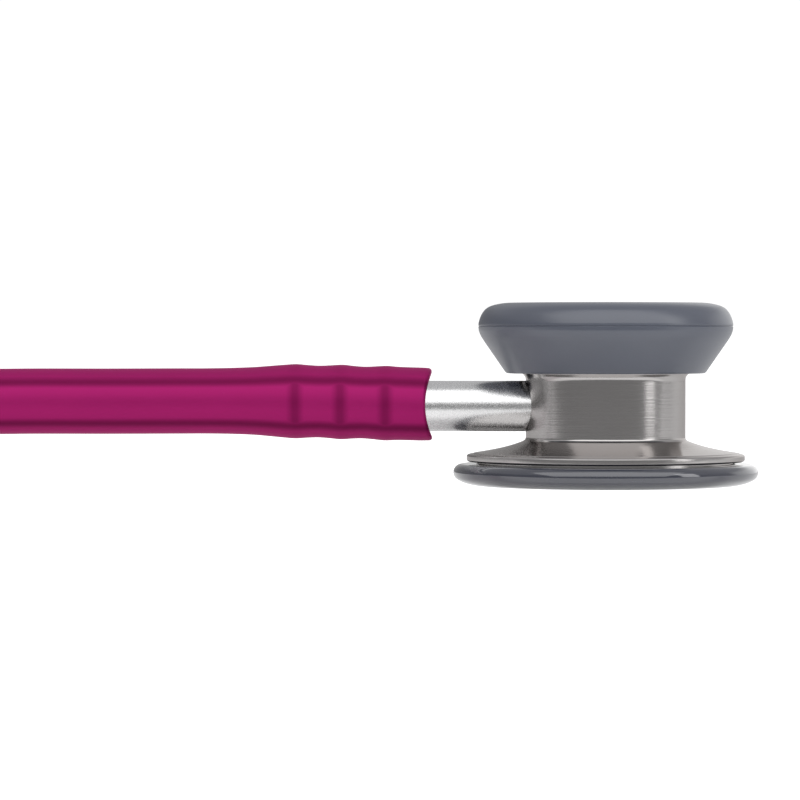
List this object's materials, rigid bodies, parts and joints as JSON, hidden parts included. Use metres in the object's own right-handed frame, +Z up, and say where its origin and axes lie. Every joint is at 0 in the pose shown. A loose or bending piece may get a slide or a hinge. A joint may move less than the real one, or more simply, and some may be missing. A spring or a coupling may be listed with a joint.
{
  "type": "stethoscope",
  "caption": "Dual-head stethoscope laid flat: turned steel chestpiece that swivels on a barbed stem, looped tubing, sprung yoke and a headset with bent ear tubes and soft ear tips.",
  "frame": {"origin": "centre of the diaphragm's outer face, which the rim holds 0.7 mm above the surface that everything lies on", "axes": "+Z up out of the bell, -X along the stem and tubing towards the headset, +Y towards the wearer's left side of the headset"},
  "size_m": [0.4717, 0.1459, 0.0229],
  "materials": {
    "body_steel": "turned satin",
    "bell_rubber": "satin",
    "rim_plastic": "gloss",
    "diaphragm_sheet": "satin",
    "stem_steel": "bead blasted",
    "spring_steel": "polished",
    "seal_rubber": "matte",
    "tubing_pvc": "satin",
    "ear_tube_alloy": "satin",
    "ear_tip_rubber": "satin",
    "core_plastic": "matte"
  },
  "bodies": {
    "tubing": {"stem": "stem_steel", "stem_seal": "seal_rubber", "tube_socket": "tubing_pvc", "lower_tube": "tubing_pvc", "tube_loop": "tubing_pvc", "yoke": "tubing_pvc", "leaf_spring": "spring_steel"},
    "head": {"chestpiece_body": "body_steel", "bell_sleeve": "bell_rubber", "diaphragm_rim": "rim_plastic", "stem_clip": "spring_steel", "detent_spring": "spring_steel", "detent_screw": "spring_steel"},
    "membrane": {"diaphragm": "diaphragm_sheet"},
    "detent": {"detent_ball": "spring_steel"},
    "left_arm": {"left_arm_tube": "tubing_pvc"},
    "right_arm": {"right_arm_tube": "tubing_pvc"},
    "left_ear": {"left_ear_tube": "ear_tube_alloy"},
    "right_ear": {"right_ear_tube": "ear_tube_alloy"},
    "left_tip": {"left_ear_tip": "ear_tip_rubber", "left_tip_core": "core_plastic"},
    "right_tip": {"right_ear_tip": "ear_tip_rubber", "right_tip_core": "core_plastic"}
  },
  "joints": [
    {"name": "stem_swivel", "type": "hinge", "parent": "tubing", "child": "head", "pos_m": [0, 0, 0.0093], "axis": [1, 0, 0], "continuous": true},
    {"name": "diaphragm_flex", "type": "slide", "parent": "head", "child": "membrane", "axis": [0, 0, 1], "range_m": [0, 0.0004], "stiffness_N_per_m": 500},
    {"name": "detent_travel", "type": "slide", "parent": "head", "child": "detent", "axis": [0, 0, 1], "range_m": [-0.0004, 0], "stiffness_N_per_m": 300, "springref_m": 0.0004, "deforming": ["detent_spring"]},
    {"name": "left_arm_spread", "type": "hinge", "parent": "tubing", "child": "left_arm", "pos_m": [-0.209, -0.0042, 0.0034], "axis": [0, 0, -1], "range_deg": [-4, 15], "stiffness_Nm_per_rad": 3},
    {"name": "right_arm_spread", "type": "hinge", "parent": "tubing", "child": "right_arm", "pos_m": [-0.209, -0.0198, 0.0034], "axis": [0, 0, 1], "range_deg": [-4, 15], "stiffness_Nm_per_rad": 3},
    {"name": "left_ear_twist", "type": "hinge", "parent": "left_arm", "child": "left_ear", "pos_m": [-0.3504, 0.027, 0.0034], "axis": [-0.9681, 0.2504, 0], "range_deg": [-20, 20]},
    {"name": "right_ear_twist", "type": "hinge", "parent": "right_arm", "child": "right_ear", "pos_m": [-0.3504, -0.051, 0.0034], "axis": [0.9681, 0.2504, 0], "range_deg": [-20, 20]},
    {"name": "left_tip_turn", "type": "hinge", "parent": "left_ear", "child": "left_tip", "pos_m": [-0.4466, 0.021, 0.01141], "axis": [-0.1994, -0.9452, 0.2586], "continuous": true},
    {"name": "right_tip_turn", "type": "hinge", "parent": "right_ear", "child": "right_tip", "pos_m": [-0.4466, -0.045, 0.01141], "axis": [-0.1994, 0.9452, 0.2586], "continuous": true}
  ]
}
